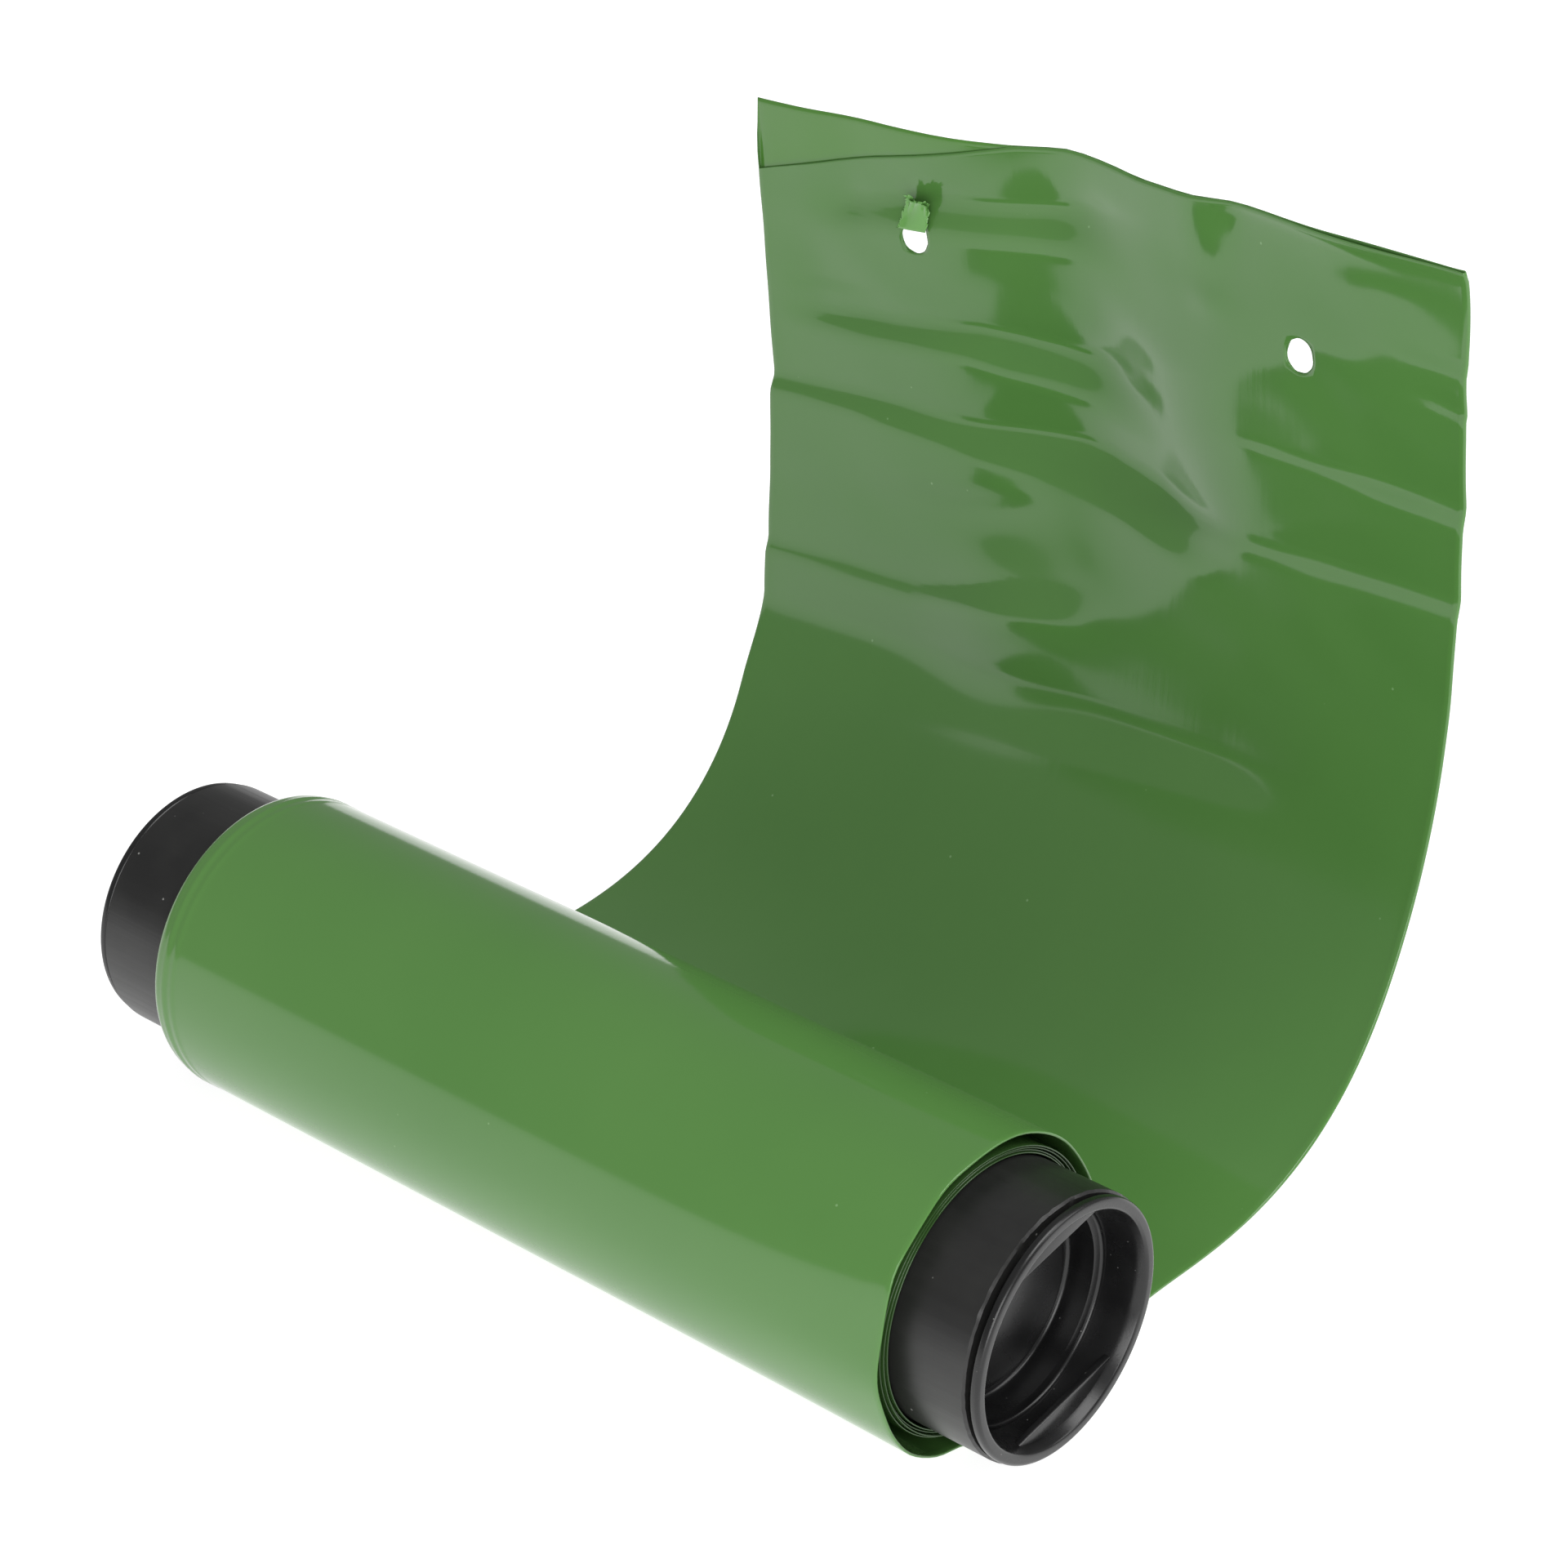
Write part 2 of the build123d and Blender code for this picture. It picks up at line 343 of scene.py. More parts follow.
def mouth_web(side):
    """A thin plate across one edge of the mouth: a disc cut off straight along its chord."""
    web = bmesh.new()
    bmesh.ops.create_circle(web, cap_ends=True, radius=WEB_R, segments=WEB_STEPS)
    bmesh.ops.transform(web, matrix=Matrix.Rotation(math.radians(90), 4, "Y"), verts=web.verts)
    bmesh.ops.bisect_plane(
        web,
        geom=list(web.verts) + list(web.edges) + list(web.faces),
        plane_co=(0, 0, side * WEB_CHORD),
        plane_no=(0, 0, -side),
        clear_outer=True,
    )
    swept = bmesh.ops.extrude_face_region(web, geom=list(web.faces))
    risen = [v for v in swept["geom"] if isinstance(v, bmesh.types.BMVert)]
    bmesh.ops.translate(web, vec=(-WEB_THICKNESS, 0, 0), verts=risen)
    bmesh.ops.bevel(
        web, geom=list(web.edges), offset=WEB_BEVEL, affect="EDGES", segments=2, profile=0.5, material=-1
    )
    bmesh.ops.recalc_face_normals(web, faces=web.faces)
    turn = Matrix.Rotation(WEB_TURN, 4, "X")
    set_in = Matrix.Translation((WEB_TOP, AXIS_Y, AXIS_Z)) @ turn
    bmesh.ops.transform(web, matrix=set_in, verts=web.verts)
    return web


def end_plug(name, outward, lean):
    """The whole plug, in the core's end on that side, and leaning a little as it was pushed in."""
    bm = bmesh.new()
    for side in (-1, 1):
        merge_into(bm, mouth_web(side))
    body = bmesh.new()
    turned(body, [(x * MM, r * MM) for x, r in plug_outline()], PLUG_STEPS)
    merge_into(bm, body)
    pivot = Matrix.Translation((0, AXIS_Y, AXIS_Z))
    if outward < 0:
        half_turn = Matrix.Rotation(math.pi, 4, "Z")
        bmesh.ops.transform(bm, matrix=pivot @ half_turn @ pivot.inverted(), verts=bm.verts)
    lean_axis = Vector((0, 1, 1)).normalized()
    tip = pivot @ Matrix.Rotation(lean, 4, lean_axis) @ pivot.inverted()
    seat = Matrix.Translation((outward * PLUG_SEAT, 0, 0))
    bmesh.ops.transform(bm, matrix=seat @ tip, verts=bm.verts)
    piece = finished(bm, name)
    piece.data.materials.append(moulded_black())
    return piece


near_cup = end_plug("near_cup_plug", 1, NEAR_LEAN)
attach(near_cup, "near_cap")
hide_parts("near_plug")
far_cup = end_plug("far_cup_plug", -1, FAR_LEAN)
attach(far_cup, "far_cap")
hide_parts("far_plug")

# ---------------------------------------------------------------- film: the last turn and the leaf
# Heavy green tubing, blown as a sleeve and pressed flat, so it is two plies joined by a rounded
# fold down each side. The last turn goes over the roll, runs out flat and curls up to a cut mouth.
film_low, film_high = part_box("film_leaf")
FILM_NEAR = film_high.x
FILM_WIDTH = film_high.x - film_low.x
wide = FILM_WIDTH / MM
PLY = 0.16 * MM
PLY_GAP = 0.13 * MM  # from the middle of the sleeve to the middle of each ply
TABLE_CLEAR = 0.01 * MM  # the least room under the film
REST = PLY_GAP + PLY / 2 + 2 * TABLE_CLEAR  # lowest middle line that keeps the film above the surface
ROLL_FOOT = AXIS_Z - REST
FAR_LENGTH = 223.8  # in mm, from under the axis to the cut, along each fold
NEAR_LENGTH = 217.8
LEAF_TOP = 220.0  # where the mesh's last row lies before the cut is shaped
PATH_STEP = 0.25 * MM
PATH_LENGTH = 235 * MM
FILM_WELD = 0.002 * MM
FILM_SHARP = 60.0


def smooth(value):
    """A soft step from 0 to 1."""
    value = min(max(value, 0.0), 1.0)
    return value * value * (3 - 2 * value)


def swell(value, centre, width):
    """A soft hump, 1 high at its centre."""
    return math.exp(-(((value - centre) / width) ** 2))


# How the film turns up from the table: (degrees, from mm along it, over mm). The near fold first
# lifts off the table and comes down again, and it leans in at its top.
FAR_BENDS = [(69.0, 57.8, 75.6), (26.5, 84.3, 124.0)]
NEAR_BENDS = [(9.8, 0.0, 12.0), (49.5, 39.9, 67.4), (43.1, 61.3, 111.0), (16.1, 173.9, 60.0)]
LIFT_ENDS, LIFT_FALL = 22.0, 25.0


def far_heading(s):
    """Degrees that the film has turned up from the table, s mm along the far fold."""
    return sum(degrees * smooth((s - start) / length) for degrees, start, length in FAR_BENDS)


def near_heading(s):
    """The same along the near fold."""
    lift, *curl = [degrees * smooth((s - start) / length) for degrees, start, length in NEAR_BENDS]
    return lift * (1 - smooth((s - LIFT_ENDS) / LIFT_FALL)) + sum(curl)


def leaf_path(across):
    """Middle line of the film at one place across it: (y, z, heading) at each step along its length."""
    toward_near = 1 - across / FILM_WIDTH
    y, z, path = AXIS_Y, REST, []
    for step in range(int(PATH_LENGTH / PATH_STEP)):
        s = step * PATH_STEP / MM
        heading = math.radians(near_heading(s) * toward_near + far_heading(s) * (1 - toward_near))
        path.append((y, z, heading))
        y += PATH_STEP * math.cos(heading)
        z += PATH_STEP * math.sin(heading)
    return path


# Where the last turn stands off, or pulls in, at the roll's near end: (degrees round from level, half
# width in degrees, mm).
WRAP_CORNERS = [
    (145, 8, 0.50),
    (114, 9, 0.40),
    (78, 12, 0.25),
    (32, 16, -0.45),
    (169, 12, -0.68),
    (200, 12, -0.42),
    (228, 9, 0.25),
    (256, 9, -0.85),
]
SLACK_REACH = 16.0  # how far in from the near fold they are felt, in mm
WRAP_START = -60  # degrees, where the last turn comes out from under the leaf's foot
WRAP_SWEEP = 330
WRAP_GAIN = 0.70 * MM  # the last turn's spiral, from where it starts to where it leaves the roll
SHOULDER_DROP, SHOULDER_REACH = 0.45, 0.6  # the far fold is drawn in, in mm
RIDGES = [(2.2, 0.14), (4.0, 0.09)]  # lines pressed up by the folds below: mm from the far fold, height
RIDGE_HALF = 0.5


def wrap_radius(angle, across):
    """Radius of the last turn's middle line, where it is `across` mm from the near fold."""
    degrees = (math.degrees(angle) - WRAP_START) % 360 + WRAP_START
    from_far = wide - across
    slack = sum(mm * swell(degrees, middle, half) for middle, half, mm in WRAP_CORNERS)
    shoulder = -SHOULDER_DROP * math.exp(-from_far / SHOULDER_REACH)
    ridges = sum(height * swell(from_far, middle, RIDGE_HALF) for middle, height in RIDGES)
    base = ROLL_FOOT - WRAP_GAIN * (1 - smooth((degrees - WRAP_START) / WRAP_SWEEP))
    return base + (slack * math.exp(-across / SLACK_REACH) + shoulder + ridges) * MM


# The back ply's cut edge, as (u, v): mm from the near fold, and from under the roll. The front ply
# was cut at a slant from FRONT_CUT_START on, and ends FRONT_CUT_DROP lower at the far fold.
BACK_CUT = [(0, 220.0), (40, 219.8), (66, 219.2), (81, 220.6), (91, 220.2), (120, 221.2), (145, 221.0)]
FRONT_CUT_START, FRONT_CUT_DROP = 91.0, 12.0


def top_of_back(u):
    for (u0, v0), (u1, v1) in zip(BACK_CUT, BACK_CUT[1:]):
        if u <= u1:
            return v0 + (v1 - v0) * max(0.0, u - u0) / (u1 - u0)
    return BACK_CUT[-1][1]


def top_of_front(u):
    return top_of_back(u) - FRONT_CUT_DROP * max(0.0, u - FRONT_CUT_START) / (wide - FRONT_CUT_START)


def stations(*runs):
    """Places along a line: each run is (from, to, number of equal steps)."""
    places = [runs[0][0]]
    for start, end, count in runs:
        places += [start + (end - start) * (k + 1) / count for k in range(count)]
    return places


# Creases that handling has left. Each follows a line of (u, v) from far to near, has a half width
# where it starts and ends, and leans back across it by the given slope before the film recovers.
CREASES = [
    ([(164, 126), (20, 127)], 8.0, 4.0, -0.25),
    ([(164, 142.6), (111, 141.5), (68, 148)], 1.2, 3.5, -0.40),
    ([(164, 171), (125, 171), (100, 169), (80, 168), (40, 160)], 1.0, 5.5, -0.62),
    ([(144, 184), (122, 184.5), (100, 185), (58, 178)], 1.8, 5.5, -0.68),
    ([(136, 202.5), (112, 206), (62, 206)], 2.8, 5.2, -0.66),
    ([(144, 189), (132, 190.5), (118, 191)], 0.8, 0.8, -0.85),
    ([(72, 166), (40, 165.5), (-26, 165)], 2.0, 2.2, -0.30),
    ([(50, 183), (20, 181.5), (-26, 178)], 0.6, 3.2, -0.34),
    ([(56, 209), (-26, 209)], 9.0, 9.0, -0.26),
    ([(18, 206), (-26, 201)], 0.7, 0.7, -0.45),
    ([(15, 199), (-26, 192)], 0.8, 0.8, -0.45),
]
CREASE_FADE = 12.0  # over which a crease dies out at its far end, and over twice that at its near end
RECOVERY = 9.0
# One broad swelling at the foot of the creases and two finger dents: (u, v, half widths, mm forward).
DENTS = [(90, 141, 15.0, 12.0, 2.2), (51, 203, 4.0, 2.4, 0.5), (69, 185, 5.5, 2.2, 0.5)]
BOW = 6.0  # how far the leaf's middle is bowed back, in mm
BOW_MIDDLE = 77
BOW_FOOT, BOW_RISE = 141, 34
BOW_HALF = 20
NEAR_WIDER, FAR_WIDER = 17, 20  # the bow spreads toward the cut on its near side, and low down on its far
NEAR_WIDER_FROM, NEAR_WIDER_OVER = 190, 20
FAR_WIDER_FROM, FAR_WIDER_OVER = 163, 10
RUMPLE_START = 60  # below which the film is smooth
RIPPLE = 0.10
RIPPLE_START, RIPPLE_RISE = 135, 20


def crease(u, v, line, start_half, end_half, slope):
    """One crease's share at (u, v): a soft step back across its line, fading at both its ends."""
    if not line[-1][0] <= u <= line[0][0]:
        return 0.0
    for (u0, v0), (u1, v1) in zip(line, line[1:]):
        if u >= u1:
            middle = v0 + (v1 - v0) * (u0 - u) / (u0 - u1)
            break
    along = (line[0][0] - u) / (line[0][0] - line[-1][0])
    half = start_half + (end_half - start_half) * along
    ends = smooth((line[0][0] - u) / CREASE_FADE) * smooth((u - line[-1][0]) / CREASE_FADE / 2)
    rise = smooth((v - middle) / half / 2 + 0.5)
    return slope * half * ends * rise * math.exp(-max(0.0, v - middle - half) / RECOVERY)


def rumple(u, v):
    """How far the standing leaf stands in front of its straight lines, in mm, at (u, v) on it.
    Its middle is bowed back and its upper half is creased by handling."""
    if v < RUMPLE_START:
        return 0.0
    if u < BOW_MIDDLE:
        bow_half = BOW_HALF + NEAR_WIDER * smooth((v - NEAR_WIDER_FROM) / NEAR_WIDER_OVER)
    else:
        bow_half = BOW_HALF + FAR_WIDER * smooth((FAR_WIDER_FROM - v) / FAR_WIDER_OVER)
    offset = -BOW * swell(u, BOW_MIDDLE, bow_half) * smooth((v - BOW_FOOT) / BOW_RISE)
    ripple = math.sin(u * 0.23 + 1.7 * math.sin(v * 0.11)) * math.sin(v * 0.31 + 0.8 * math.sin(u * 0.13))
    offset += RIPPLE * ripple * smooth((v - RIPPLE_START) / RIPPLE_RISE)
    for line, start_half, end_half, slope in CREASES:
        offset += crease(u, v, line, start_half, end_half, slope)
    for middle_u, middle_v, wide_u, wide_v, depth in DENTS:
        offset += depth * swell(u, middle_u, wide_u) * swell(v, middle_v, wide_v)
    return offset


paths = [leaf_path(k * MM) for k in range(int(wide) + 1)]


def path_point(u, s):
    """Middle line at u and s mm, read between the two nearest worked-out lines."""
    column = min(int(u), len(paths) - 2)
    step = s * MM / PATH_STEP
    row = min(int(step), len(paths[0]) - 2)
    a, b = u - column, step - row
    corners = [
        (paths[column][row], (1 - a) * (1 - b)),
        (paths[column + 1][row], a * (1 - b)),
        (paths[column][row + 1], (1 - a) * b),
        (paths[column + 1][row + 1], a * b),
    ]
    return [sum(point[k] * share for point, share in corners) for k in range(3)]


FOLD_FULLNESS, FOLD_REACH = 0.14, 1.3  # in mm: the leaf's folds are not pressed quite flat
FULL_START, FULL_RISE = 55, 25
# Where the mouth gapes: (mm to each side, middle u, half width, v that it starts from, over mm).
MOUTH_GAPES = [(0.35, 18, 12, 212, 9), (0.12, 140, 14, 206, 8)]


def half_gap(u, v):
    """From the middle of the sleeve to each ply: tight, a little fuller at the folds, open at the mouth."""
    standing = smooth((v - FULL_START) / FULL_RISE)
    folds = math.exp(-u / FOLD_REACH) + math.exp(-(wide - u) / FOLD_REACH)
    mouth = sum(
        gape * swell(u, middle, half) * smooth((v - start) / rise)
        for gape, middle, half, start, rise in MOUTH_GAPES
    )
    return PLY_GAP + (FOLD_FULLNESS * folds * standing + mouth) * MM


def film_point(u, v, side, round_fold=0.0):
    """A place on the sleeve. side is +1 for the ply that faces the roll, -1 for the other; round_fold
    moves it out past the fold. Below zero, v runs back round the last turn on the roll."""
    gap = half_gap(u, v)
    spread = gap / MM
    x = FILM_NEAR - (spread + u * (wide - 2 * spread) / wide + round_fold * spread) * MM
    if v < 0:
        angle = math.radians(270) + v * MM / ROLL_FOOT
        radius = wrap_radius(angle, u) - side * gap
        return Vector((x, AXIS_Y + radius * math.cos(angle), AXIS_Z + radius * math.sin(angle)))
    far_share = u / wide
    length = NEAR_LENGTH * (1 - far_share) + FAR_LENGTH * far_share
    y, z, heading = path_point(u, v * length / LEAF_TOP)
    off = side * gap + rumple(u, v) * MM
    return Vector((x, y - off * math.sin(heading), z + off * math.cos(heading)))


FOLD = 0.6  # flat width given to each rounded fold, in mm
FOLD_STEPS = 4
HOLES = [(31.0, 199.5), (111.0, 202.5)]
HOLE_R = 2.75
HOLE_FRAME = 5.0  # half side of the square that is cut out of the mesh and filled in round each hole
FRAME_SLACK = 0.01  # so that the square's own corners count as on it
HOLE_RINGS = 4
HOLE_RAG = 0.10
HOLE_GRAIN = 1.6
MOUTH_START = 208.0  # above it the rows are drawn up or down to the cut
SINGLE_EDGE = 0.8
UV_SCALE = 0.01  # of the flat sheet's pattern, to the mm
# The mesh's rows along the film and its columns across it, close where it is creased or punched.
rows = stations(
    (-137, -8, 80),
    (-8, 12, 10),
    (12, 60, 16),
    (60, 120, 30),
    (120, 160, 40),
    (160, 194, 34),
    (194, 207, 13),
    (207, 220, 13),
)
across_front = stations(
    (0, 6, 6), (6, 26, 10), (26, 36, 10), (36, 106, 35), (106, 116, 10), (116, 139, 14), (139, 145, 6)
)
across_back = stations(
    (0, 4, 5), (4, 26, 7), (26, 36, 10), (36, 106, 20), (106, 116, 10), (116, 139, 8), (139, 145, 20)
)
back_start = wide + FOLD
fold_places = [FOLD * (k + 1) / FOLD_STEPS for k in range(FOLD_STEPS)]
loop = across_front + [wide + place for place in fold_places[:-1]]
loop += [back_start + wide - u for u in reversed(across_back)]
loop += [back_start + wide + place for place in fold_places]

film_bm = bmesh.new()
bmesh.ops.create_grid(film_bm, x_segments=len(loop) - 1, y_segments=len(rows) - 1, size=0.5)
for vert in film_bm.verts:
    across_index = round((vert.co.x + 0.5) * (len(loop) - 1))
    along_index = round((vert.co.y + 0.5) * (len(rows) - 1))
    vert.co = Vector((loop[across_index], rows[along_index], 0))


def in_frame(place, centre, reach):
    """Whether a place on the flat sheet is in the square frame about that centre."""
    return abs(place.x - centre.x) < reach and abs(place.y - centre.y) < reach


for hole_u, hole_v in HOLES:
    for middle in (hole_u, back_start + wide - hole_u):
        centre = Vector((middle, hole_v, 0))
        inside = [f for f in film_bm.faces if in_frame(f.calc_center_median(), centre, HOLE_FRAME)]
        bmesh.ops.delete(film_bm, geom=inside, context="FACES")
        frame_edges = [
            e
            for e in film_bm.edges
            if e.is_boundary and all(in_frame(v.co, centre, HOLE_FRAME + FRAME_SLACK) for v in e.verts)
        ]
        for ring in range(1, HOLE_RINGS + 1):
            drawn = bmesh.ops.extrude_edge_only(film_bm, edges=frame_edges)["geom"]
            frame_edges = [e for e in drawn if isinstance(e, bmesh.types.BMEdge)]
            for vert in {v for e in frame_edges for v in e.verts}:
                arm = vert.co - centre
                torn = noise.noise(arm.normalized() * HOLE_GRAIN + Vector((hole_u, middle, 0)))
                rim = arm.normalized() * HOLE_R * (1 + HOLE_RAG * torn)
                vert.co = centre + arm.lerp(rim, 1 / (HOLE_RINGS + 1 - ring))


def fold_place(place):
    """What a place round the flat sleeve is: (u, side, how far past the fold, how much it is front ply)."""
    if place <= wide:
        return place, 1.0, 0.0, 1.0
    if place < back_start:
        t = (place - wide) / FOLD
        return wide, math.cos(math.pi * t), math.sin(math.pi * t), 1 - t
    if place <= back_start + wide:
        return back_start + wide - place, -1.0, 0.0, 0.0
    t = (place - back_start - wide) / FOLD
    return 0.0, -math.cos(math.pi * t), -math.sin(math.pi * t), t


sheet_uv = film_bm.loops.layers.uv.new("sheet")
single = film_bm.verts.layers.float.new("single_ply")
for face in film_bm.faces:
    for corner in face.loops:
        corner[sheet_uv].uv = corner.vert.co.xy * UV_SCALE
for vert in film_bm.verts:
    u, side, past, front_share = fold_place(vert.co.x)
    v = vert.co.y
    if v > MOUTH_START:
        top = top_of_back(u) + (top_of_front(u) - top_of_back(u)) * front_share
        v = MOUTH_START + (v - MOUTH_START) * (top - MOUTH_START) / (LEAF_TOP - MOUTH_START)
        if front_share == 0.0:
            vert[single] = smooth((v - top_of_front(u)) / SINGLE_EDGE)
    vert.co = film_point(u, v, side, past)
    vert.co.z = max(vert.co.z, PLY / 2 + TABLE_CLEAR)
bmesh.ops.remove_doubles(film_bm, verts=film_bm.verts, dist=FILM_WELD)
bmesh.ops.recalc_face_normals(film_bm, faces=film_bm.faces)

GREEN_DARK, GREEN_PALE = Vector((0.077, 0.204, 0.046)), Vector((0.089, 0.221, 0.053))
GREEN_THIN = (0.080, 0.222, 0.038)  # where one ply stands alone and light comes through
FILM_DUST = (0.10, 0.13, 0.09)
FILM_IOR = 1.5


def green_film(name, depth=1.0):
    """Glossy green film: nearly even colour, faint haul-off lines along it, soft haze and dust. Where one
    ply stands alone its green is painted lighter, for the light coming through it; depth scales the whole
    colour, as painted shade below 1 and painted light above 1.
    """
    paint, tree, shader, place = new_paint(name)
    shader.inputs["IOR"].default_value = FILM_IOR
    cloud = texture(tree, "Noise", place, scale=22.0, Detail=3.0)
    tint = two_tone(tree, cloud.outputs["Fac"], (0.25, GREEN_DARK * depth), (0.75, GREEN_PALE * depth))
    thin = tree.nodes.new("ShaderNodeAttribute")
    thin.attribute_name = "single_ply"
    bright = tree.nodes.new("ShaderNodeMix")
    bright.data_type = "RGBA"
    bright.inputs["B"].default_value = (*GREEN_THIN, 1)
    tree.links.new(thin.outputs["Fac"], bright.inputs["Factor"])
    tree.links.new(tint, bright.inputs["A"])
    skin = bright.outputs["Result"]
    skin = dusted(tree, place, skin, FILM_DUST, scale=120.0, full=0.018, gone=0.032)
    tree.links.new(skin, shader.inputs["Base Color"])
    haze = texture(tree, "Noise", place, scale=60.0, Detail=5.0)
    set_roughness(tree, shader, haze.outputs["Fac"], low=0.075, high=0.15)
    flat_place = tree.nodes.new("ShaderNodeUVMap")
    flat_place.uv_map = "sheet"
    along = stretched(tree, flat_place.outputs["UV"], scale=(70.0, 1.6, 1.0))
    haul = texture(tree, "Noise", along, scale=1.0, Detail=3.0)
    set_bump(tree, shader, haul.outputs["Fac"], strength=0.05, height=0.2 * MM)
    return paint


def thickened(piece, thickness):
    """Gives a sheet its wall, half to each side of its surface."""
    wall = piece.modifiers.new("ply", "SOLIDIFY")
    wall.thickness = thickness
    wall.offset = 0.0
    wall.use_even_offset = False


film_sleeve = finished(film_bm, "film_sleeve", FILM_SHARP)
film_sleeve.data.materials.append(green_film("green_film"))
thickened(film_sleeve, PLY)
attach(film_sleeve, "film")
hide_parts("film_leaf")

# ---------------------------------------------------------------- film: the inner turns
# The rest of the same sleeve, wound round the core four times. Its folded edges show at each end
# as thin green lips with dark gaps, and they don't quite line up from turn to turn.
TURNS = 4
TURN_ROWS = 96
TURN_PLY = 0.09 * MM
FIRST_TURN_R = TUBE_R + 0.26 * MM
LAST_TURN_R = TUBE_R + 2.10 * MM
MOST_TURN_R = TUBE_R + 2.62 * MM  # keeps the inner turns inside the last one
TURN_GAP = 0.065 * MM
TURN_OPEN = 0.02 * MM
NEAR_REACH, FAR_REACH = 14.0, 10.0  # how far in from each fold the turns wander, in mm
TURN_INSET = 0.9  # how far the folds lie inside the last turn's, in mm
TURN_SLIP = 1.1
TURN_STRAY = 0.16
TURN_PULL = 0.30  # the outer turns are drawn in at the near end
SLIP_PACE, STRAY_PACE = 1.4, 2.1  # how fast both change from turn to turn
TURN_UV = (2.9, 5.4)
# painted shade: the inner turns' green is darkened to this share of the film's colour
INNER_SHADE = 0.32  # less light reaches between the turns
turn_fold = stations((0, 1, 5))[1:-1]
turn_across = stations((0, 8, 6), (8, 137, 6), (137, 145, 6))
turn_loop = turn_across + [wide + t * FOLD for t in turn_fold]
turn_loop += [back_start + wide - u for u in reversed(turn_across)]
turn_loop += [back_start + wide + t * FOLD for t in turn_fold] + [back_start + wide + FOLD]


def turn_point(u, turn, side, past):
    """A place on the wound sleeve: turn counts the turns from the core outwards."""
    angle = math.radians(WRAP_START) + turn * 2 * math.pi
    share = turn / TURNS
    near_end = math.exp(-u / NEAR_REACH)
    edge = near_end + math.exp(-(wide - u) / FAR_REACH)
    stray = noise.noise(Vector((turn * STRAY_PACE, 3.0, 0.0)))
    slip = TURN_SLIP * noise.noise(Vector((turn * SLIP_PACE, 9.0, 0.0)))
    gap = TURN_GAP + TURN_OPEN * edge
    radius = FIRST_TURN_R + (LAST_TURN_R - FIRST_TURN_R) * share
    radius += (TURN_STRAY * stray - TURN_PULL * share) * near_end * MM - side * gap
    radius = min(radius, MOST_TURN_R)
    spread = gap / MM
    inset = (TURN_INSET + slip) * edge
    x = FILM_NEAR - (spread + u * (wide - 2 * spread) / wide + past * spread + inset) * MM
    return Vector((x, AXIS_Y + radius * math.cos(angle), AXIS_Z + radius * math.sin(angle)))


turns_bm = bmesh.new()
bmesh.ops.create_grid(turns_bm, x_segments=len(turn_loop) - 1, y_segments=TURNS * TURN_ROWS, size=0.5)
turns_uv = turns_bm.loops.layers.uv.new("sheet")
for face in turns_bm.faces:
    for corner in face.loops:
        flat = corner.vert.co
        corner[turns_uv].uv = ((flat.x + 0.5) * TURN_UV[0], (flat.y + 0.5) * TURN_UV[1])
for vert in turns_bm.verts:
    u, side, past, front_share = fold_place(turn_loop[round((vert.co.x + 0.5) * (len(turn_loop) - 1))])
    vert.co = turn_point(u, (vert.co.y + 0.5) * TURNS, side, past)
bmesh.ops.remove_doubles(turns_bm, verts=turns_bm.verts, dist=FILM_WELD)
bmesh.ops.recalc_face_normals(turns_bm, faces=turns_bm.faces)
film_turns = finished(turns_bm, "film_turns", FILM_SHARP)
film_turns.data.materials.append(green_film("green_film_inner_shaded", INNER_SHADE))
thickened(film_turns, TURN_PLY)
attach(film_turns, "roll")
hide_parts("film_wraps")

# ---------------------------------------------------------------- starting tape
# A strip of pale creped paper tape that holds the film's first edge to the core. It keeps the shape
# it has in the design, since the film hides it.
TAPE_DARK, TAPE_PALE = (0.62, 0.52, 0.34), (0.74, 0.65, 0.46)
TAPE_ROUGHNESS = 0.7
tape_paper, tape_tree, tape_shader, tape_place = new_paint("tape_paper")
tape_shader.inputs["Roughness"].default_value = TAPE_ROUGHNESS
tape_crepe = texture(tape_tree, "Wave", tape_place, scale=900.0, Distortion=6.0)
tape_tint = two_tone(tape_tree, tape_crepe.outputs["Fac"], (0.0, TAPE_DARK), (1.0, TAPE_PALE))
tape_tree.links.new(tape_tint, tape_shader.inputs["Base Color"])
set_bump(tape_tree, tape_shader, tape_crepe.outputs["Fac"], strength=0.3, height=0.1 * MM)
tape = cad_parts["start_tape"]
tape.data.materials.clear()
tape.data.materials.append(tape_paper)
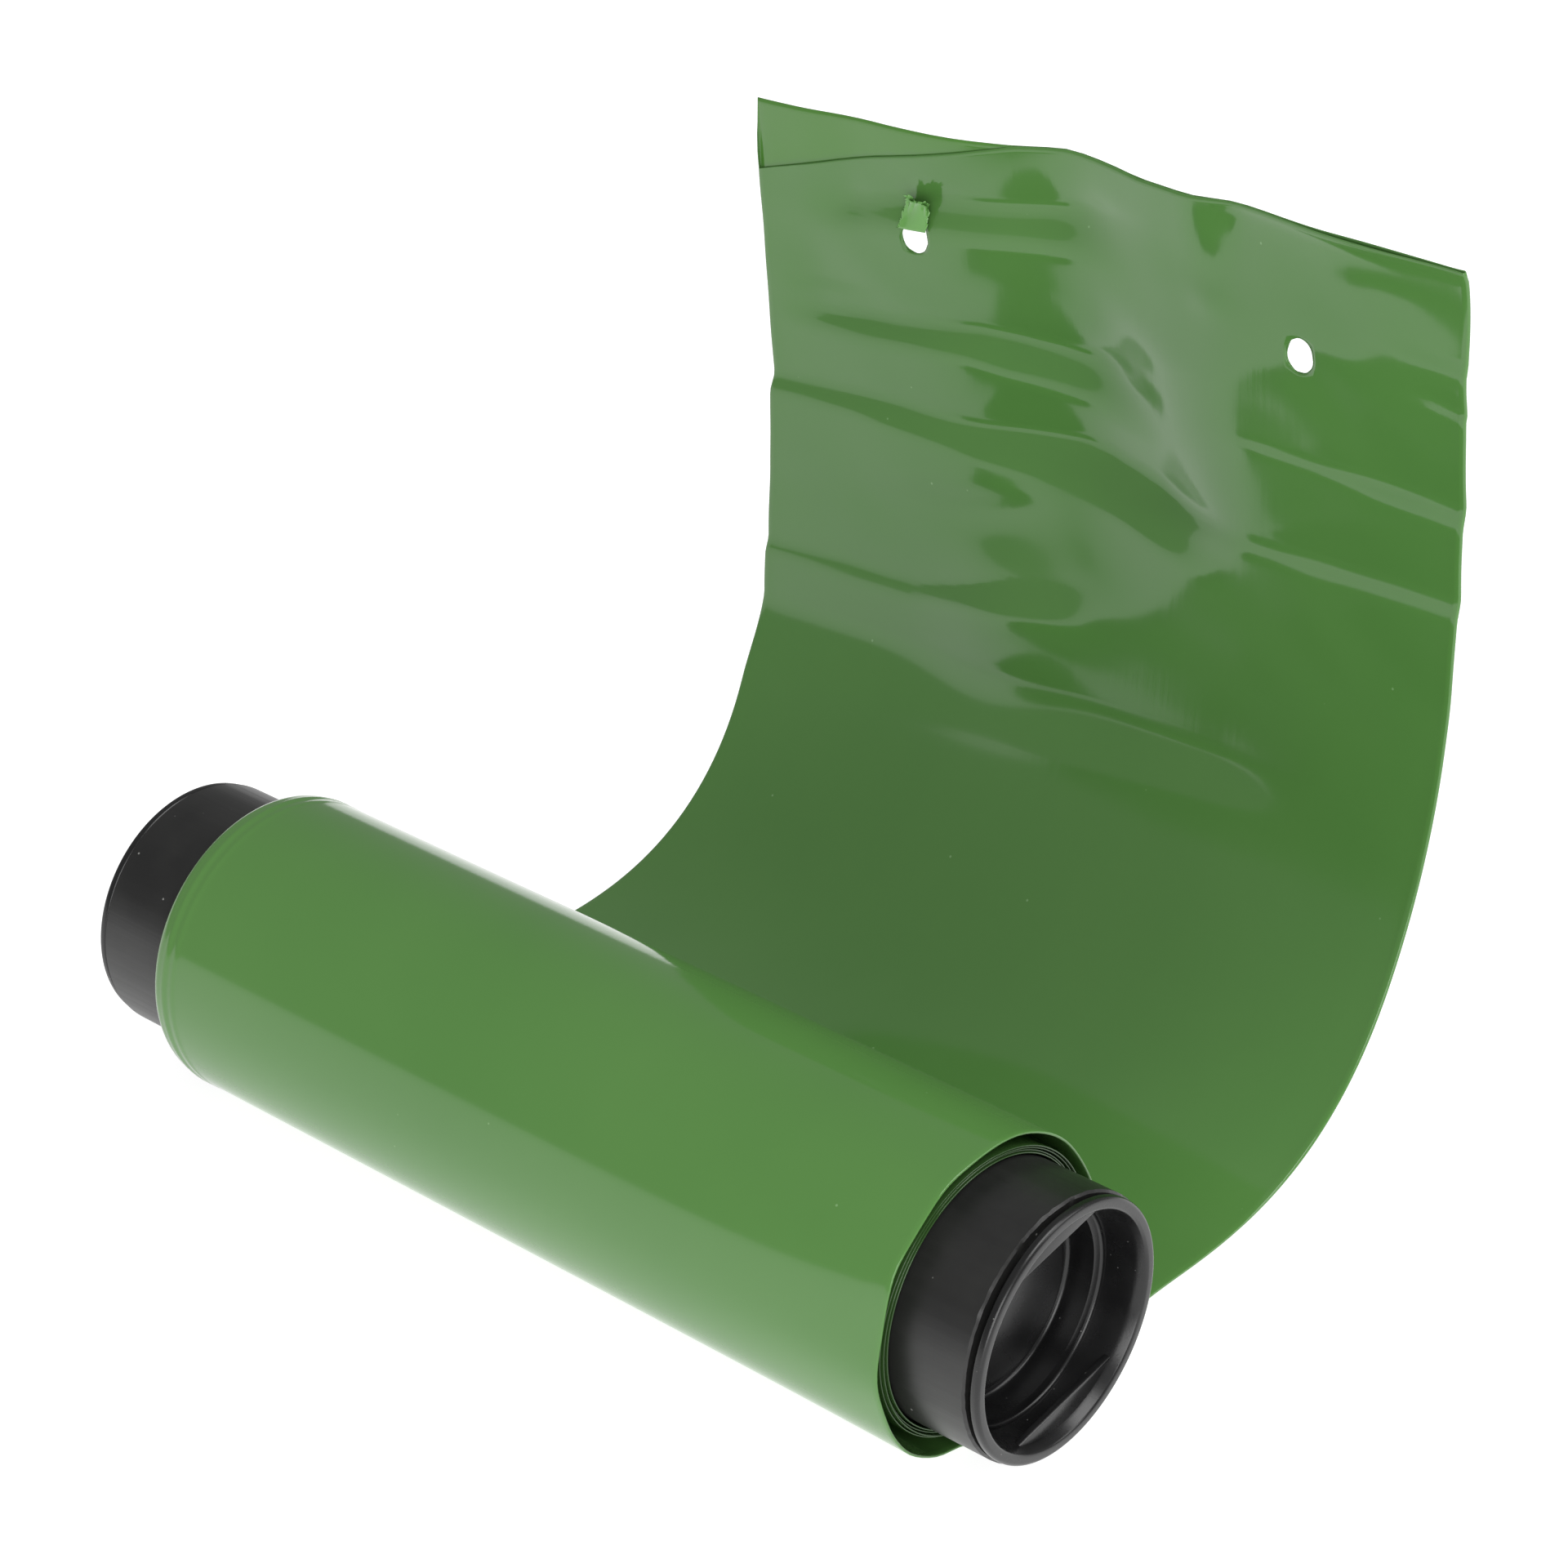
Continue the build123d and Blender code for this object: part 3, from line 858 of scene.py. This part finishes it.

# ---------------------------------------------------------------- torn flap at the far hole
# The punch left a ragged scrap of both plies hanging by the upper rim of the far hole. It is curled
# away from the film, and its green is drawn paler as painted light, for the light that comes through the
# thin torn plastic.
FLAP_SIZE = 5.4
FLAP_STEPS = 22
FLAP_RAG = 0.13
FLAP_HEM = 0.7  # share of the half width from which the edge is ragged
FLAP_GRAIN = 17
FLAP_THICK = 0.12 * MM
# painted light: the scrap's green is made this many times lighter than the film's
FLAP_PAINTED_LIGHT = 1.7
SECOND_WIDER, SECOND_AHEAD = 0.16, 0.3  # the second ply's scrap
FLAP_HINGE, FLAP_ASIDE = 1.3, 0.2  # from the hole's middle, in mm
FLAP_FOOT, FLAP_TAPER, FLAP_LEAN = 0.98, 0.25, 1.3
FLAP_LIFT, FLAP_CURL, FLAP_SKEW, FLAP_WAVE = 0.35, 1.7, 0.9, 0.35
FLAP_UV_SCALE = 10
flap_u, flap_v = HOLES[1]


def flap_point(a, b, sheet_no):
    """a runs across the flap and b up from its hinge, both 0 to 1."""
    reach = FLAP_SIZE * (1.0 + SECOND_WIDER * sheet_no)
    u = flap_u + FLAP_ASIDE - (a - 0.5) * reach * (FLAP_FOOT - FLAP_TAPER * b) - FLAP_LEAN * b
    v = flap_v + FLAP_HINGE + b * reach
    twist = (FLAP_SKEW * (a - 0.5) + FLAP_WAVE * math.sin(8 * a + 3 * sheet_no)) * b
    curl = FLAP_LIFT + FLAP_CURL * b * b + SECOND_AHEAD * sheet_no + twist
    point = film_point(u, v, 1.0)
    ahead = film_point(u, v + 1.0, 1.0) - point
    out = Vector((0, -ahead.z, ahead.y)).normalized()
    return point + out * (curl * MM)


flap_bm = bmesh.new()
for sheet_no in (0, 1):
    made = bmesh.ops.create_grid(flap_bm, x_segments=FLAP_STEPS, y_segments=FLAP_STEPS, size=0.5)
    for vert in made["verts"]:
        a, b = vert.co.x, vert.co.y
        edge = max(abs(a), abs(b)) * 2
        rag = noise.noise(Vector((a * FLAP_GRAIN, b * FLAP_GRAIN, 4.0 * sheet_no + 1)))
        torn = FLAP_RAG * rag * smooth((edge - FLAP_HEM) / (1 - FLAP_HEM))
        a, b = a * (1 + 2 * torn), b + torn * (b > -0.4)  # the hinge stays whole
        vert.co = flap_point(a + 0.5, max(0.0, b + 0.5), sheet_no)
bmesh.ops.recalc_face_normals(flap_bm, faces=flap_bm.faces)
flap_uv = flap_bm.loops.layers.uv.new("sheet")
for face in flap_bm.faces:
    for corner in face.loops:
        corner[flap_uv].uv = corner.vert.co.xz * FLAP_UV_SCALE
torn_flap = finished(flap_bm, "torn_flap", FILM_SHARP)
torn_flap.data.materials.append(green_film("green_film_torn", FLAP_PAINTED_LIGHT))
thickened(torn_flap, FLAP_THICK)
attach(torn_flap, "film")
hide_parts("hole_chad")
